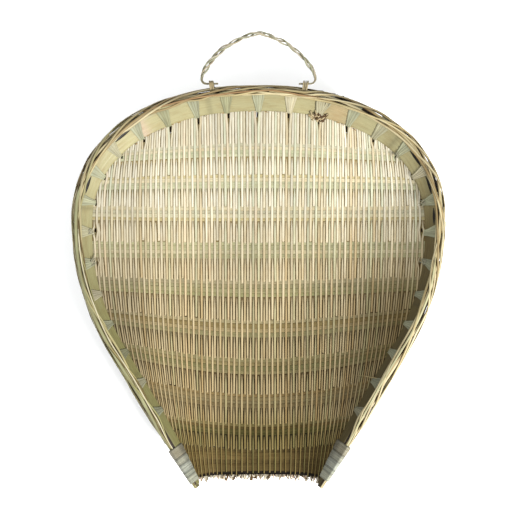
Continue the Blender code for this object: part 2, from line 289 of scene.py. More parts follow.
def dish_rows(rim):
    """Rows of points of the mat's middle surface, from over the wall's top to the middle."""
    fine = np.linspace(rim.half_length - 0.08, rim.half_length, 161)
    end = float(fine[np.argmax(rim.points(fine, WALL_REACH, 0)[:, 1] < LIP_Y)])
    u = np.linspace(-end, end, 301)
    foot = rim.points(u, WALL_REACH, 0)
    last = foot[-1]
    share = np.linspace(0, 1, 61)[1:-1]
    x = last[0] * (1 - 2 * share)
    sag = LIP_SAG * (1 - (x / last[0]) ** 2)
    lip = np.stack([x, np.full_like(x, last[1]), last[2] - sag], axis=1)
    edge = np.concatenate([foot, lip])
    angle = np.arctan2(edge[:, 1], edge[:, 0])
    oval = np.stack(
        [INNER_HALF_WIDTH * np.cos(angle), INNER_HALF_LENGTH * np.sin(angle)], axis=1
    )
    base = -EDGE_DROP - WALL_REACH * math.cos(FLARE)
    rows = []
    for fraction in np.linspace(1, 0.002, 46):
        plan = (edge[:, :2] * fraction + oval * (1 - fraction)) * fraction
        droop = (rim_top(edge[:, 1]) + base - edge[:, 2]) * fraction**2
        z = rim_top(plan[:, 1]) + base - DISH_DEPTH * (1 - fraction**2) - droop
        rows.append(np.concatenate([plan, level_out(z)[:, None]], axis=1))
    wall = [rim.points(u, s, 0) for s in np.linspace(-0.012, WALL_REACH, 12)]
    return wall, rows


def level_out(z):
    flat = MAT_THICK / 2
    depth = np.minimum(flat + LEVEL_EASE - z, 2 * LEVEL_EASE)
    eased = flat + LEVEL_EASE - depth + depth * depth / (4 * LEVEL_EASE)
    return np.where(depth <= 0, z, eased)


class Dish:
    """The mat's middle surface as heights over a grid, with s and u of the rim beside it."""

    def __init__(self, rim):
        wall, rows = dish_rows(rim)
        points, faces = [], []
        for block, closed in ((wall, False), (rows, True)):
            start = sum(len(p) for p in points)
            wide = len(block[0])
            points += block
            for row in range(len(block) - 1):
                for k in range(wide if closed else wide - 1):
                    n = (k + 1) % wide
                    a = start + row * wide
                    faces.append((a + k, a + n, a + wide + n, a + wide + k))
        tree = BVHTree.FromPolygons([Vector(p) for p in np.concatenate(points)], faces)
        self.x = np.arange(-0.27, 0.2701, GRID_STEP)
        self.y = np.arange(-0.33, 0.2601, GRID_STEP)
        outline = KDTree(len(rim.u))
        for k, (x, y) in enumerate(rim.plan):
            outline.insert((x, y, 0), k)
        outline.balance()
        self.z = np.full((len(self.y), len(self.x)), np.nan)
        self.s = np.zeros_like(self.z)
        self.u = np.zeros_like(self.z)
        for j, y in enumerate(self.y):
            for i, x in enumerate(self.x):
                hit = tree.ray_cast(Vector((x, y, 1)), Vector((0, 0, -1)))[0]
                if hit is not None:
                    self.z[j, i] = hit.z
                near, k, _ = outline.find((x, y, 0))
                inside = -float(np.dot(np.array((x, y)) - near.xy, rim.out[k]))
                self.s[j, i] = (inside - EDGE_INSET) / math.sin(FLARE)
                self.u[j, i] = rim.u[k]
        self.extend()
        self.dy, self.dx = np.gradient(self.z, GRID_STEP)

    def extend(self):
        """Carries the heights on past the surface's edge, column by column, then by rows."""
        for table in (self.z.T, self.z):
            for line in table:
                known = np.flatnonzero(~np.isnan(line))
                if len(known) < 3 or len(known) == len(line):
                    continue
                first, last = known[0], known[-1]
                slope = line[first + 1] - line[first]
                line[:first] = line[first] - slope * np.arange(first, 0, -1)
                slope = line[last] - line[last - 1]
                line[last + 1:] = line[last] + slope * np.arange(1, len(line) - last)
                inner = np.arange(first, last + 1)
                line[first:last + 1] = np.interp(inner, known, line[known])
        self.z = np.nan_to_num(self.z, nan=float(RIM_HEIGHT))

    def read(self, table, x, y):
        i = np.clip((x - self.x[0]) / GRID_STEP, 0, len(self.x) - 1.001)
        j = np.clip((y - self.y[0]) / GRID_STEP, 0, len(self.y) - 1.001)
        i0, j0 = i.astype(int), j.astype(int)
        a, b = i - i0, j - j0
        low = table[j0, i0] * (1 - a) + table[j0, i0 + 1] * a
        high = table[j0 + 1, i0] * (1 - a) + table[j0 + 1, i0 + 1] * a
        return low * (1 - b) + high * b

    def surface(self, x, y):
        """Points and normals of the middle surface."""
        point = np.stack([x, y, self.read(self.z, x, y)], axis=-1)
        slope_x, slope_y = self.read(self.dx, x, y), self.read(self.dy, x, y)
        return point, unit(np.stack([-slope_x, -slope_y, np.ones_like(slope_x)], axis=-1))


# ------------------------------------------------------------------- strips of bamboo

CROWNED = np.array(
    [(-0.5, -0.5), (0.5, -0.5), (0.5, 0.05), (0.24, 0.5), (-0.24, 0.5), (-0.5, 0.05)]
)
FLAT = np.array([(-0.5, -0.5), (0.5, -0.5), (0.5, 0.28), (0.4, 0.5), (-0.4, 0.5), (-0.5, 0.28)])
ROUND = np.array([(0.5 * math.cos(TURN * k / 8), 0.5 * math.sin(TURN * k / 8)) for k in range(8)])
CREASED = np.array(
    [
        (-0.5, -0.5), (0.5, -0.5), (0.5, 0.25), (0.36, 0.55), (0.2, 0.5), (0.08, 0.28),
        (-0.04, 0.26), (-0.16, 0.52), (-0.34, 0.6), (-0.5, 0.2),
    ]
)
WIDE = np.array(
    [(-0.5, -0.5), (0.5, -0.5), (0.5, 0.2)]
    + [(0.46 - 0.092 * k, 0.5 + 0.12 * math.sin(2.3 * k)) for k in range(11)]
    + [(-0.5, 0.2)]
)


EDGE_SHADE, UNDER_SHADE = 0.36, 0.66
SHARP_FROM = math.radians(50)


class Pile:
    """Closed strips gathered into one mesh, with a tint and grain coordinates on each corner."""

    def __init__(self):
        self.points, self.tints, self.grains, self.faces = [], [], [], []
        self.count = 0
        self.strips = 0

    def strip(
        self, path, side, up, width, thick, tint,
        section=CROWNED, ring=False, edge=EDGE_SHADE, under=None,
    ):
        """One strip along a path; edge shades its edges, and under is its underside's colour."""
        n, k = len(path), len(section)
        width = np.broadcast_to(np.asarray(width, float), (n,))
        thick = np.broadcast_to(np.asarray(thick, float), (n,))
        over = section[None, :, 0] * width[:, None]
        lift = section[None, :, 1] * thick[:, None]
        points = path[:, None] + over[..., None] * side[:, None] + lift[..., None] * up[:, None]
        along = lengths(path)[:, None] + np.zeros((n, k))
        self.strips += 1
        seed = np.full((n, k), 1.37 * self.strips)
        self.grains.append(np.stack([along, over + 0.4 * lift, seed], axis=-1).reshape(-1, 3))
        high = section[:, 1]
        edge = np.broadcast_to(np.asarray(edge, float), (n,))[:, None]
        shade = np.where(high > 0.3, 1.0, np.where(high > -0.2, edge, UNDER_SHADE))
        brown = shade[..., None] ** np.array([0.85, 1.0, 1.3])
        tint = np.asarray(tint, float).reshape(-1, 1, 3) * brown
        tint = np.broadcast_to(tint, (n, k, 3))
        if under is not None:
            tint = np.where((high < -0.3)[None, :, None], np.asarray(under)[:, None], tint)
        self.tints.append(tint.reshape(-1, 3))
        self.points.append(points.reshape(-1, 3))
        ahead = np.gradient(path, axis=0)
        forward = float(np.sum(ahead * np.cross(side, up))) > 0
        a = self.count
        for i in range(n if ring else n - 1):
            here, there = a + i * k, a + ((i + 1) % n) * k
            for j in range(k):
                m = (j + 1) % k
                face = (here + j, here + m, there + m, there + j)
                self.faces.append(face if forward else face[::-1])
        if not ring:
            first = tuple(range(a, a + k))
            last = tuple(range(a + (n - 1) * k, a + n * k))
            self.faces.append(first[::-1] if forward else first)
            self.faces.append(last if forward else last[::-1])
        self.count += n * k

    def make(self, name, material, body, record_slot, *nodes):
        mesh = bpy.data.meshes.new(name)
        mesh.from_pydata(np.concatenate(self.points).tolist(), [], self.faces)
        tint = mesh.attributes.new("tint", "FLOAT_COLOR", "POINT")
        colours = np.concatenate(self.tints)
        colours = np.concatenate([colours, np.ones((len(colours), 1))], axis=1)
        tint.data.foreach_set("color", colours.astype(np.float32).ravel())
        grain = mesh.attributes.new("grain", "FLOAT_VECTOR", "POINT")
        grain.data.foreach_set("vector", np.concatenate(self.grains).astype(np.float32).ravel())
        mesh.shade_smooth()
        mesh.set_sharp_from_angle(angle=SHARP_FROM)
        mesh.materials.append(material)
        made = bpy.data.objects.new(name, mesh)
        bpy.context.scene.collection.objects.link(made)
        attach(made, body)
        if nodes:
            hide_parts(*nodes)


def wander(rng, count, amount, knots=7):
    """A slow random drift of about the given amount, for `count` places."""
    at = np.linspace(0, 1, knots)
    return np.interp(np.linspace(0, 1, count), at, rng.normal(0, amount, knots))


def mottled(rng, tint, count, amount, knots):
    """A tint that drifts lighter and darker over `count` places."""
    return tint * (1 + wander(rng, count, amount, knots))[:, None]


def lay_on_wall(pile, rim, u, s, q, width, thick, tint):
    """A loose strip that faces inwards, whichever way it runs over the wall."""
    path, up = rim.points(u, s, q), rim.inward(u)
    pile.strip(path, beside(path, up), up, width, thick, tint)


def lay_on_edge(pile, rim, path, u, width, thick, tint, section=CROWNED):
    """A strip that faces up along the rim's edge."""
    pile.strip(path, rim.inward(u), -rim.down(u), width, thick, tint, section)


# ----------------------------------------------------------------------------- materials


SPECK = 0.25                # how strongly the dark specks show
BUMP_DEPTH = 0.0004


def set_inputs(node, **values):
    for name, value in values.items():
        node.inputs[name.replace("_", " ")].default_value = value


def bamboo(name, roughness, fibre, blotch, bump, coat=0.0, shine=0.20):
    """Split bamboo: the strip's own tint under fibres along it, blotches and dark specks."""
    made = bpy.data.materials.new(name)
    made.use_nodes = True
    tree = made.node_tree
    nodes, link = tree.nodes, tree.links.new
    shader = nodes["Principled BSDF"]
    set_inputs(shader, Coat_Weight=coat, Coat_Roughness=0.35, Specular_IOR_Level=shine)

    def attribute(label):
        node = nodes.new("ShaderNodeAttribute")
        node.attribute_type = "GEOMETRY"
        node.attribute_name = label
        return node

    def noise(scale, detail, rough=0.6):
        stretch = nodes.new("ShaderNodeVectorMath")
        stretch.operation = "MULTIPLY"
        stretch.inputs[1].default_value = scale
        link(grain.outputs["Vector"], stretch.inputs[0])
        node = nodes.new("ShaderNodeTexNoise")
        set_inputs(node, Scale=1.0, Detail=detail, Roughness=rough)
        link(stretch.outputs[0], node.inputs["Vector"])
        return node.outputs["Fac"]

    def spread(value, low, high, out_low, out_high):
        node = nodes.new("ShaderNodeMapRange")
        set_inputs(node, From_Min=low, From_Max=high, To_Min=out_low, To_Max=out_high)
        link(value, node.inputs["Value"])
        return node.outputs["Result"]

    def blend(kind, factor, one, two):
        node = nodes.new("ShaderNodeMix")
        node.data_type = "RGBA"
        node.blend_type = kind
        for socket, value in (("Factor", factor), ("A", one), ("B", two)):
            socket = next(s for s in node.inputs if s.name == socket and s.enabled)
            if isinstance(value, (int, float, tuple)):
                socket.default_value = value
            else:
                link(value, socket)
        return next(s for s in node.outputs if s.enabled)

    tint, grain = attribute("tint"), attribute("grain")
    fibres = noise((55.0, 2600.0, 3.0), 5.0)
    streaks = noise((18.0, 900.0, 5.0), 3.0)
    clouds = noise((60.0, 160.0, 7.0), 2.0, 0.5)
    specks = noise((420.0, 2200.0, 11.0), 2.0, 0.7)
    fine = spread(fibres, 0.3, 0.7, 1 - fibre, 1 + fibre * 0.35)
    broad = spread(streaks, 0.3, 0.7, 1 - fibre * 0.8, 1 + fibre * 0.3)
    times = nodes.new("ShaderNodeMath")
    times.operation = "MULTIPLY"
    link(fine, times.inputs[0])
    link(broad, times.inputs[1])
    grey = nodes.new("ShaderNodeCombineColor")
    for channel in ("Red", "Green", "Blue"):
        link(times.outputs[0], grey.inputs[channel])
    colour = blend("MULTIPLY", 1.0, tint.outputs["Color"], grey.outputs["Color"])
    cloud = spread(clouds, 0.45, 0.7, 0.0, blotch)
    colour = blend("MULTIPLY", cloud, colour, (0.62, 0.42, 0.22, 1.0))
    dark = spread(specks, 0.66, 0.78, 0.0, SPECK)
    colour = blend("MULTIPLY", dark, colour, (0.30, 0.20, 0.10, 1.0))
    link(colour, shader.inputs["Base Color"])
    rough = spread(streaks, 0.25, 0.75, roughness + 0.12, roughness - 0.1)
    link(rough, shader.inputs["Roughness"])
    raised = nodes.new("ShaderNodeBump")
    set_inputs(raised, Strength=bump, Distance=BUMP_DEPTH)
    link(fibres, raised.inputs["Height"])
    link(raised.outputs["Normal"], shader.inputs["Normal"])
    return made


# ---------------------------------------------------------------------------- the weave


def band_line(band):
    """Where a band's line crosses the middle of the mat, on Y."""
    share = band / 10
    squeeze = BAND_SQUEEZE * np.sin(TURN * share) + BAND_SHIFT * np.sin(math.pi * share)
    return BAND_LIP + BAND_SPAN * share - squeeze


def bow(y):
    front = BOW_FRONT * smooth((BOW_FLAT - y) / BOW_RUN)
    back = BOW_BACK * (np.maximum(y - BOW_FLAT, 0) / 0.14) ** 2
    return front - back


def band_at(x, y):
    """How many bands a place is from the mouth."""
    bands = np.linspace(-0.6, 12, 500)
    return np.interp(y - bow(y) * x * x, band_line(bands), bands)


def with_painted_shade(tint, x, y, shaded=1.0):
    """The tint of each place along a strip of the mat, with painted shade for how the light falls
    over the dish: lighter up the back, darker towards the sides, darker and browner towards the
    mouth. shaded sets how strongly it works.
    """
    pale = 1.16 * np.exp(-((np.maximum(0.07 - y, 0) / 0.29) ** 1.1))
    pale = pale * (1 - 0.12 * smooth((y - 0.13) / 0.06))
    ahead = smooth((0.04 - y) / 0.12)
    right = (1 + 0.22 * smooth(x / 0.12)) * (1 - 0.50 * smooth((x - 0.08) / 0.12) * ahead)
    left = 1 - 0.14 * smooth((-x - 0.13) / 0.06) - 0.26 * smooth((-x - 0.12) / 0.08) * ahead
    warm = 1 - np.exp(-np.maximum(0.09 - y, 0) / 0.20) + 0.35 * smooth((x - 0.11) / 0.10) * ahead
    mouth = smooth((-0.200 - y) / 0.05)
    share = (pale ** shaded * right * left * (1 - 0.95 * (shaded - 0.35) * mouth))[:, None]
    blue = (1.10 - 0.62 * warm) * (1 - 0.70 * (shaded - 0.35) * mouth)
    brown = [np.ones_like(warm), 1 - 0.21 * warm, blue]
    return np.asarray(tint) * share * np.stack(brown, axis=1)


WARP_TINTS = [
    (linear((238, 232, 200)), 0.50),
    (linear((231, 222, 184)), 0.24),
    (linear((224, 226, 190)), 0.14),
    (linear((236, 224, 188)), 0.05),
    (linear((222, 208, 166)), 0.05),
]
WEFT_TINTS = [
    (linear((209, 205, 168)), 0.34),
    (linear((194, 195, 152)), 0.26),
    (linear((214, 204, 162)), 0.24),
    (linear((200, 184, 138)), 0.16),
]


def pick(rng, tints, vary=0.06):
    weights = np.array([w for _, w in tints])
    colour = tints[rng.choice(len(tints), p=weights / weights.sum())][0]
    return colour * (1 + rng.normal(0, vary))


def warp_lines(rim, dish):
    """x of every warp at every y of a fine ladder, leaning with the rim near its sides."""
    y = np.arange(-0.304, 0.2381, 0.001)
    right = rim.plan[len(rim.u) // 2:]
    order = np.argsort(right[:, 1])
    edge = np.interp(y, right[order, 1], right[order, 0])
    slope = np.clip(np.gradient(edge, y), -0.5, 0.75)
    start = int(np.argmin(np.abs(y - 0.03)))
    fine = np.linspace(0, 0.26, 900)
    rise = dish.read(dish.dx, fine, np.full_like(fine, y[start]))
    length = np.concatenate([[0], np.cumsum(np.hypot(1, rise)[1:] * np.diff(fine))])
    number = np.arange(-WARPS_A_SIDE, WARPS_A_SIDE + 1)
    x = np.zeros((len(number), len(y)))
    x[:, start] = np.sign(number) * np.interp(np.abs(number) * WARP_PITCH, length, fine)
    for way in (1, -1):
        k = start
        while 0 <= k + way < len(y):
            reach = np.clip(x[:, k] / edge[k], -1.1, 1.1)
            lean = WARP_LEAN * np.sign(reach) * np.abs(reach) ** 3 * slope[k]
            x[:, k + way] = x[:, k] + lean * (y[k + way] - y[k])
            k += way
    return number, y, x


def slot_places(rim, ladder, lines):
    """The slots of the lashings round the back, each between two warps.

    A slot is its x, y, half width and half length. The lashings down the arms have none.
    """
    places = []
    for k in range(-BANDS_A_SIDE, BANDS_A_SIDE + 1):
        if abs(k) > 9:
            continue
        u = k * BAND_PITCH
        steep = smooth((abs(k) - 2.0) / 4)
        s = band_foot(rim, u) + 0.0062 - 0.0025 * steep
        x, y, _ = rim.points(u, s, 0)
        here = np.array([np.interp(y, ladder, line) for line in lines])
        middles = (here[1:] + here[:-1]) / 2
        x = float(middles[np.argmin(np.abs(middles - x))])
        places.append((x, float(y), 0.0011, 0.0058 - 0.0030 * float(steep)))
    return places


# Places of the samples along a warp, in bands on from the line where it dives. It is under
# the wefts for about half a band, and over them for one and a half.
PROFILE = np.array(
    [
        # band, height, width, shade
        (0.00, 0.75, 0.96, 1.00), (0.05, -0.75, 0.86, 0.70), (0.10, -1.0, 0.80, 0.62),
        (0.26, -1.0, 0.80, 0.62), (0.38, -0.6, 0.62, 0.66), (0.45, 0.05, 0.40, 0.78),
        (0.52, 0.45, 0.48, 0.90), (0.62, 0.72, 0.70, 0.96), (0.76, 0.88, 0.86, 1.0),
        (0.95, 0.98, 0.92, 1.0), (1.10, 1.05, 0.97, 1.0), (1.30, 1.12, 1.0, 1.02),
        (1.52, 1.10, 1.0, 1.02), (1.74, 1.05, 0.98, 1.02), (1.90, 1.0, 0.98, 1.02),
        (1.97, 0.92, 0.97, 1.02),
    ]
)


AT_BACK = (0.85, 0.96, 1.0)     # a warp's height, width and shade up the back wall
ON_SLAT = (0.55, 0.62, 1.20)    # the same where it lies on the brown slat
UNDER_SLAT = -2.6               # the height of the other set, which goes under it


def beside_horn(rim, u):
    """s of the mat's edge along a horn's binding, which narrows towards the tip."""
    return HORN_MIDDLE + (HOOP_END_WIDTH - 0.0008 - HORN_MIDDLE) * rim.narrowing(u)


def on_mat(rim, dish, x, y, margin):
    """Where a strip is far enough down from the mat's edge, or under a horn's hoops."""
    u = dish.read(np.abs(dish.u), x, y)
    return dish.read(dish.s, x, y) > np.minimum(mat_top(rim, u) + margin, beside_horn(rim, u))


def make_warps(rim, dish, finish, slots, number, ladder, lines, groups=10):
    rng = np.random.default_rng(11)
    gap = np.abs(np.gradient(lines, axis=0))
    share = len(number) / groups
    for group in range(groups):
        pile = Pile()
        for k in range(int(group * share), int((group + 1) * share)):
            warp_strips(rim, dish, pile, rng, number[k], ladder, lines[k], gap[k], slots)
        pile.make(f"warps_{group + 1:02d}", finish, "basket", "woven_mat", "woven_mat")


def warp_strips(rim, dish, pile, rng, number, ladder, line, gap, slots):
    parity = number % 2
    tint = pick(rng, WARP_TINTS)
    bands = band_at(line, ladder)
    bands = np.maximum.accumulate(bands + np.arange(len(bands)) * 1e-9)
    samples = []
    for period in range(-1, 7):
        shift = rng.normal(0, 0.020)
        for place, height, wide, shade in PROFILE:
            at = 2 * period + parity + shift - place
            samples.append((at, height, wide, shade))
    samples = np.array(sorted(samples))
    keep = (samples[:, 0] > -0.5) & (samples[:, 0] < bands[-1])
    at, height, wide, shade = samples[keep].T
    # Past band 1 one set goes under the brown slat, and the other lies on it, pared narrow.
    near_lip = smooth((0.98 - at) / 0.10)
    near_back = smooth((at - 10.28) / 0.15)
    height, wide, shade = (
        mix(look, end, near_back) for look, end in zip((height, wide, shade), AT_BACK)
    )
    if parity:
        height = mix(height, UNDER_SLAT, near_lip)
    else:
        height, wide, shade = (
            mix(look, end, near_lip) for look, end in zip((height, wide, shade), ON_SLAT)
        )
    y = np.interp(at, bands, ladder)
    x = np.interp(y, ladder, line)
    x = x + wander(rng, len(x), 0.00022, 12)
    for sx, sy, half_wide, half_long in slots:
        off, by = x - sx, y - sy
        push = (half_wide + 0.0008) * np.exp(-((off / 0.0040) ** 2) - (by / (half_long * 1.6)) ** 2)
        x = x + np.where(off >= 0, push, -push)
    end = LIP_Y + rng.uniform(-0.0010, 0.0018)
    place = np.flatnonzero(on_mat(rim, dish, x, y, 0.004) & (y > end))
    if len(place) < 4:
        return
    run = slice(place[0], place[-1] + 1)
    x, y, height, wide, shade = x[run], y[run], height[run], wide[run], shade[run]
    point, normal = dish.surface(x, y)
    room = np.interp(y, ladder, gap) * np.hypot(1, dish.read(dish.dx, x, y))
    path = point + normal * (height * WEAVE_LIFT)[:, None]
    side = beside(path, normal)
    width = np.minimum(room, WARP_PITCH * 1.06) * wide * (1 + rng.normal(0, 0.035))
    front = smooth((0.08 - y) / 0.20)
    width = width * (1 - 0.19 * front)
    # Painted light and shade: towards the mouth each warp is painted lighter on top, and darker
    # where it dives and along its edges.
    shaded = with_painted_shade(tint, x, y, 0.74) * (1 + 0.24 * front)[:, None]
    colour = shaded * (shade ** (1 + 0.9 * front * (shade < 1)))[:, None]
    edge = EDGE_SHADE * (1 - 0.60 * front)
    pile.strip(path, side, normal, width, WARP_THICK, colour, edge=edge, under=shaded * UNDER_SHADE)


def make_wefts(rim, dish, finish, slots, groups=8):
    rng = np.random.default_rng(23)
    ladder = np.arange(-0.31, 0.2401, 0.001)
    x = np.arange(-0.252, 0.2521, 0.006)
    piles = [Pile() for _ in range(groups)]
    for number in range(int(WEFT_BANDS * WEFTS_A_BAND)):
        band = (number + 0.5) / WEFTS_A_BAND + rng.normal(0, 0.0025)
        if band < 0.99:
            continue
        rows = []
        for place in (band - 0.5 / WEFTS_A_BAND, band, band + 0.5 / WEFTS_A_BAND):
            middle = band_line(place)
            row = [np.interp(middle, ladder - bow(ladder) * v * v, ladder) for v in x]
            rows.append(np.array(row))
        y = rows[1] + wander(rng, len(x), 0.00010, 9)
        rise = dish.read(dish.dy, x, y)
        width = (rows[2] - rows[0]) * np.hypot(1, rise) * rng.uniform(1.13, 1.22)
        # Between the bands' open zones the wefts lie deep under both sets of warps, and there they
        # are painted dark as shade.
        seen = float(smooth((band % 1 - 0.46) / 0.14)) * (band < 10.2)
        tint = pick(rng, WEFT_TINTS, 0.09)
        fresh = rng.random() < 0.25
        if fresh:
            tint = tint * (0.96, 1.0, 0.92)
        place = np.flatnonzero(on_mat(rim, dish, x, y, 0.005) & (y > LIP_Y + 0.0015))
        if len(place) < 4:
            continue
        low, high = x[place[0]], x[place[-1]]
        breaks = [low]
        for sx, sy, half_wide, half_long in slots:
            if low < sx < high and abs(np.interp(sx, x, y) - sy) < half_long + 0.0006:
                breaks += [sx - half_wide, sx + half_wide]
        breaks.append(high)
        pile = piles[min(groups - 1, int(number / (WEFT_BANDS * WEFTS_A_BAND) * groups))]
        for start, stop in zip(breaks[::2], breaks[1::2]):
            inner = x[(x > start + 0.001) & (x < stop - 0.001)]
            run = np.concatenate([[start], inner, [stop]])
            if len(run) < 3:
                continue
            across = np.interp(run, x, y)
            point, normal = dish.surface(run, across)
            lift = rng.uniform(-0.00008, 0.00008) + (0.00013 if number % 2 else -0.00013)
            path = point + normal * lift
            side = -beside(path, normal)
            shaded = mottled(rng, with_painted_shade(tint, run, across), len(run), 0.05, 6)
            front = smooth((0.08 - across) / 0.25)[:, None]
            # Painted shade: towards the mouth the covered stretches and the wefts' edges darken
            # further, and the open stretches darken a little.
            dark = np.array([0.40, 0.33, 0.22]) * (1 - 0.60 * front)
            colour = shaded * (dark * (1 - seen) + seen * (1 - 0.12 * front))
            edge = 0.5 - 0.3 * front[:, 0]
            wide = np.interp(run, x, width)
            under = shaded * UNDER_SHADE
            pile.strip(path, side, normal, wide, WEFT_THICK, colour, FLAT, edge=edge, under=under)
    for group, pile in enumerate(piles):
        pile.make(f"wefts_{group + 1:02d}", finish, "basket", "woven_mat", "woven_mat")


SLAT_ROWS, SLAT_PITCH, SLAT_HALF = 6, 0.0074, 0.120
CUT_END_PITCH = 0.0015


def make_mouth(rim, dish, slat_finish, end_finish):
    """The brown slat along the mouth, a near-black strip of painted shadow under the warps' ends,
    and the ragged cut ends in front of it.
    """
    rng = np.random.default_rng(31)
    pile = Pile()
    for row in range(SLAT_ROWS):
        y = BAND_LIP + 0.0048 + SLAT_PITCH * row
        x = np.linspace(-SLAT_HALF, SLAT_HALF, 80)
        across = y + bow(np.array(y)) * x * x * min(row / 4, 1) + wander(rng, 80, 0.0002, 8)
        inside = on_mat(rim, dish, x, across, math.inf)
        x, across = x[inside], across[inside]
        wide = 0.0104 + 0.32 * x * x
        point, normal = dish.surface(x, across)
        path = point - normal * (0.0010 + 0.0004 * (row % 2) + 0.0006 * (row > 4))
        tint = linear((112, 94, 54)) * (1 + 0.08 * (row % 3 - 1))
        colour = mottled(rng, tint, len(x), 0.10, 20)
        pile.strip(path, -beside(path, normal), normal, wide, 0.0012, colour, FLAT, edge=0.7)
    pile.make("mouth_slat_strips", slat_finish, "basket", "brown_slat", "mouth_slat")
    pile = Pile()
    # A near-black strip under the warps' ends along the lip: painted shadow in the gaps between
    # them.
    x = np.linspace(-0.106, 0.106, 60)
    y = LIP_Y + 0.0030 + wander(rng, 60, 0.0002, 12)
    inside = on_mat(rim, dish, x, y, math.inf)
    point, normal = dish.surface(x[inside], y[inside])
    path = point - normal * 0.0019
    pile.strip(path, -beside(path, normal), normal, SLAT_PITCH, 0.0012, linear((34, 24, 10)), FLAT)
    for x0 in np.arange(-0.104, 0.1041, CUT_END_PITCH):
        if rng.random() < 0.08:
            continue
        reach = rng.uniform(0.0022, 0.0070)
        bend = rng.normal(0, 0.0022)
        t = np.linspace(0, 1, 6)
        x = x0 + rng.normal(0, 0.0005) + bend * t ** 2
        y = LIP_Y + 0.0014 - reach * 1.2 * t
        if float(dish.read(dish.s, x[:1], y[:1])[0]) < 0.009:
            continue
        point, normal = dish.surface(x, y)
        point = point + normal * (t * rng.uniform(-0.0022, 0.0020))[:, None]
        side = beside(point, normal)
        width = rng.uniform(0.0020, 0.0038) * np.linspace(1.0, rng.uniform(0.4, 1.2), 6)
        roll = rng.normal(0, 0.6)
        turned = side * math.cos(roll) + normal * math.sin(roll)
        facing = normal * math.cos(roll) - side * math.sin(roll)
        # Painted shade and highlight: each end is darker at its root, lighter towards its tip, and
        # dark along its edges.
        bright = np.linspace(0.55, rng.uniform(1.0, 1.9), 6)[:, None]
        kind = rng.random()
        tone = (244, 234, 210) if kind < 0.6 else (238, 210, 184) if kind < 0.78 else (110, 84, 50)
        pile.strip(point, turned, facing, width, 0.0010, linear(tone) * bright, edge=0.3)
    pile.make("mouth_cut_ends", end_finish, "basket", "woven_mat", "woven_mat")


# ------------------------------------------------------------------------------- the rim


def stations(start, end, step=0.006):
    return np.linspace(start, end, max(3, int(abs(end - start) / step)))


HOOP_STAINS = (             # at u, how wide, how strong, and of what colour
    (-0.175, 0.010, 1.0, (222, 200, 168)),
    (0.115, 0.022, 0.6, (214, 186, 140)),
)
HOOP_NODES = (-0.58, -0.33, -0.07, 0.21, 0.47)
PAINTED_GAP_SHADOWS = (              # stretches of u where the pale splints stand off the hoop, painted as near-black shadow
    (0.236, 0.266), (0.281, 0.311), (0.330, 0.354), (-0.219, -0.190), (-0.308, -0.281),
)


def make_hoops(rim, finish):
    rng = np.random.default_rng(41)
    middle = MAT_THICK / 2 + GAP + HOOP_THICK / 2
    for name, node, q, cut in (
        ("hoop_inner_strip", "inner_hoop", middle, 0.004),
        ("hoop_outer_strip", "outer_hoop", -middle, 0.0),
    ):
        end = rim.half_length - cut
        u = stations(-end, end, 0.004)
        reach = hoop_reach(rim, u)
        ragged = wander(rng, len(u), 0.00025, 60)
        path = rim.pinched(u, reach / 2 + ragged / 2, q)
        up = rim.inward(u) * (1 if q > 0 else -1)
        narrow = rim.narrowing(u)
        tint = mottled(rng, linear((198, 190, 142)), len(u), 0.07, 40)
        for place, spread, share, tone in HOOP_STAINS:
            tint = mix(tint, linear(tone), bell(u, place, spread)[:, None] * share)
        thick = np.full(len(u), HOOP_THICK)
        for node_u in HOOP_NODES:
            near = bell(u, node_u, 0.0035)
            thick = thick + 0.0007 * near
            tint = tint * (1 - 0.25 * near[:, None])
        # Painted shade: the hoops darken and brown towards the arms' ends, and more so down the
        # right arm, whose inner wall faces away from the light.
        front = smooth((np.abs(u) - 0.26) / 0.28)[:, None]
        tint = tint * (1 - 0.58 * front * np.array([1, 0.98, 1.2]))
        right = smooth((u - 0.2) / 0.2)[:, None] * np.array([0.52, 0.62, 0.76])
        tint = tint * (1 - right)
        pile = Pile()
        wide = (reach + ragged) * narrow
        pile.strip(path, rim.down(u), up, wide, thick * narrow, tint, WIDE, edge=0.8)
        pile.make(name, finish, "basket", "green_hoop", node)


def make_core(rim, finish):
    """The dark splints that close the mat's edge, and a filler outside it under the pale ones, both
    darker than their own brown as painted shade for the slits between the pale splints; and
    near-black strips of painted shadow where the pale splints stand off the hoop.
    """
    rng = np.random.default_rng(47)
    pile = Pile()
    end = rim.half_length - 0.005
    u = stations(-end, end)
    s = -GAP - CORE_THICK / 2
    # The core splints are near black: partly their own dark brown, partly painted shade for the
    # slits they show through.
    for side in (-1, 1):
        q = side * (GAP / 2 + SPLINT_WIDTH / 2)
        path = rim.pinched(u, s, q)
        wide, thick = SPLINT_WIDTH * 0.9, CORE_THICK * 0.9
        lay_on_edge(pile, rim, path, u, wide, thick, linear((62, 46, 26)))
    # The filler's dark brown is partly painted shade for the gaps between the pale splints above
    # it.
    u = stations(-rim.bound, rim.bound)
    path = rim.points(u, 0.0004 + wander(rng, len(u), 0.0003, 30), -0.0070)
    tint = mottled(rng, linear((104, 82, 50)), len(u), 0.15, 40)
    pile.strip(path, rim.down(u), -rim.inward(u), 0.0042, 0.0014, tint)
    # Here and there the pale splints have drawn away from the hoop: near-black strips lie on the
    # hoop there as painted shadow of the gap.
    face = MAT_THICK / 2 + GAP + HOOP_THICK
    for start, stop in PAINTED_GAP_SHADOWS:
        u = stations(start, stop, 0.003)
        wide = 0.0040 * np.sin(np.linspace(0.15, math.pi - 0.15, len(u)))
        path = rim.points(u, 0.0044, face + 0.0004)
        pile.strip(path, rim.down(u), rim.inward(u), wide, 0.0006, linear((26, 19, 10)))
    names = ("rim_core_splint_1", "rim_core_splint_2")
    pile.make("rim_core_and_shadow_strips", finish, "basket", "pale_splint", *names)


